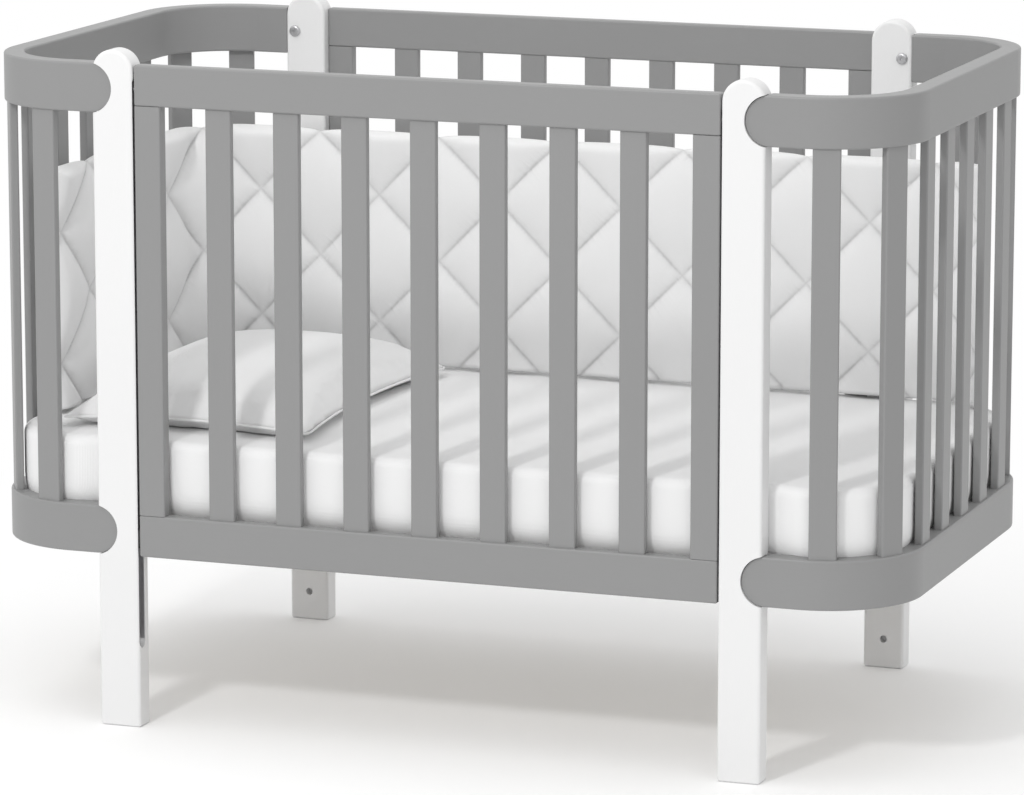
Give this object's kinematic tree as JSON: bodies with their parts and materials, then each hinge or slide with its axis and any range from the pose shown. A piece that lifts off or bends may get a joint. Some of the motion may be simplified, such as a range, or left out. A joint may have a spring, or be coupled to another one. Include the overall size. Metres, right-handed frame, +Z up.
{
  "type": "crib",
  "caption": "Baby crib with round-topped posts, rounded slatted ends, a drop side, mattress, pillow and quilted bumper.",
  "frame": {"origin": "on the floor under the middle of the crib", "axes": "+X along the crib to the right end, +Y from the front side to the back, +Z up"},
  "size_m": [1.367, 0.748, 0.974],
  "materials": {
    "white_paint": "satin white paint over wood",
    "grey_paint": "satin grey paint over wood",
    "bare_wood": "sanded, clear matt varnish",
    "steel": "zinc plated",
    "black_plastic": "moulded",
    "mattress_cover": "woven cotton cover",
    "pillow_cover": "smooth woven cotton",
    "bumper_cover": "diamond-quilted cotton"
  },
  "bodies": {
    "crib_frame": {"back_bottom_rail": "grey_paint", "back_left_stile": "grey_paint", "back_right_stile": "grey_paint", "back_slat_1": "grey_paint", "back_slat_2": "grey_paint", "back_slat_3": "grey_paint", "back_slat_4": "grey_paint", "back_slat_5": "grey_paint", "back_slat_6": "grey_paint", "back_slat_7": "grey_paint", "back_top_rail": "grey_paint", "base_brackets": "steel", "base_end_boards": "bare_wood", "base_rails": "bare_wood", "base_slats": "bare_wood", "guide_channels": "steel", "left_end_bottom_rail": "grey_paint", "left_end_slat_1": "grey_paint", "left_end_slat_2": "grey_paint", "left_end_slat_3": "grey_paint", "left_end_slat_4": "grey_paint", "left_end_slat_5": "grey_paint", "left_end_slat_6": "grey_paint", "left_end_slat_7": "grey_paint", "left_end_slat_8": "grey_paint", "left_end_slat_9": "grey_paint", "left_end_top_rail": "grey_paint", "post_back_left": "white_paint", "post_back_right": "white_paint", "post_front_left": "white_paint", "post_front_right": "white_paint", "rail_bolts": "steel", "right_end_bottom_rail": "grey_paint", "right_end_slat_1": "grey_paint", "right_end_slat_2": "grey_paint", "right_end_slat_3": "grey_paint", "right_end_slat_4": "grey_paint", "right_end_slat_5": "grey_paint", "right_end_slat_6": "grey_paint", "right_end_slat_7": "grey_paint", "right_end_slat_8": "grey_paint", "right_end_slat_9": "grey_paint", "right_end_top_rail": "grey_paint"},
    "drop_side": {"front_bottom_rail": "grey_paint", "front_left_stile": "grey_paint", "front_right_stile": "grey_paint", "front_slat_1": "grey_paint", "front_slat_2": "grey_paint", "front_slat_3": "grey_paint", "front_slat_4": "grey_paint", "front_slat_5": "grey_paint", "front_slat_6": "grey_paint", "front_slat_7": "grey_paint", "front_top_rail": "grey_paint", "guide_shoes": "black_plastic"},
    "latch_left": {"latch_left": "steel"},
    "latch_right": {"latch_right": "steel"},
    "mattress": {"mattress": "mattress_cover", "bumper": "bumper_cover"},
    "pillow": {"pillow": "pillow_cover"}
  },
  "joints": [
    {"name": "drop_side_slide", "type": "slide", "parent": "crib_frame", "child": "drop_side", "axis": [0, 0, -1], "range_m": [0, 0.145]},
    {"name": "latch_left_slide", "type": "slide", "parent": "drop_side", "child": "latch_left", "axis": [-1, 0, 0], "range_m": [0, 0.014]},
    {"name": "latch_right_slide", "type": "slide", "parent": "drop_side", "child": "latch_right", "axis": [1, 0, 0], "range_m": [0, 0.014]},
    {"name": "mattress_lift", "type": "slide", "parent": "crib_frame", "child": "mattress", "axis": [0, 0, 1], "range_m": [0, 0.3]},
    {"name": "pillow_lift", "type": "slide", "parent": "mattress", "child": "pillow", "axis": [0, 0, 1], "range_m": [0, 0.3]}
  ]
}
